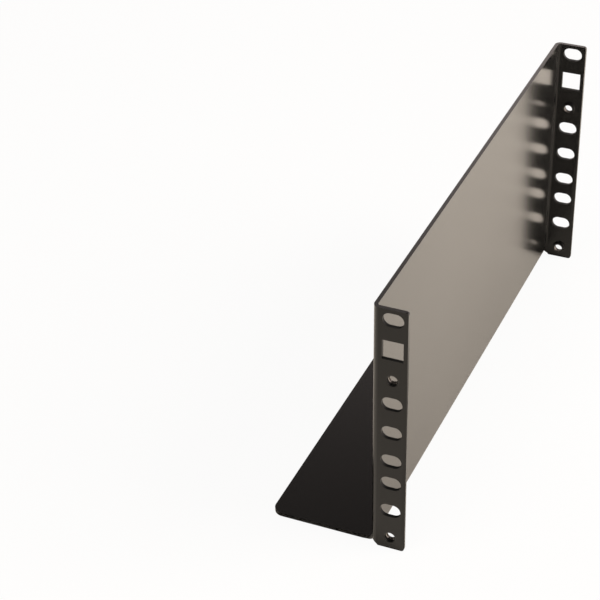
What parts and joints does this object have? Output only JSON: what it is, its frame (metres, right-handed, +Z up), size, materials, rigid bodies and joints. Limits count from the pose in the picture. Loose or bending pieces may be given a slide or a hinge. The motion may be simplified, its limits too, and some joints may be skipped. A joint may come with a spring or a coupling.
{
  "type": "rack mount ear bracket",
  "caption": "Folded sheet-steel rack bracket: a side plate with a slotted mounting ear at each end and a shelf flange along its foot, satin black powder coat.",
  "frame": {"origin": "on the surface that the ears stand on, under the middle of the whole bracket", "axes": "+Z up along the plate, +Y from the front ear to the rear ear, +X from the shelf flange to the ears' outer edges"},
  "size_m": [0.067, 0.273, 0.1323],
  "materials": {
    "powder_coat": "satin black powder coat with a fine texture"
  },
  "bodies": {
    "root": {"bracket": "powder_coat"}
  },
  "joints": []
}
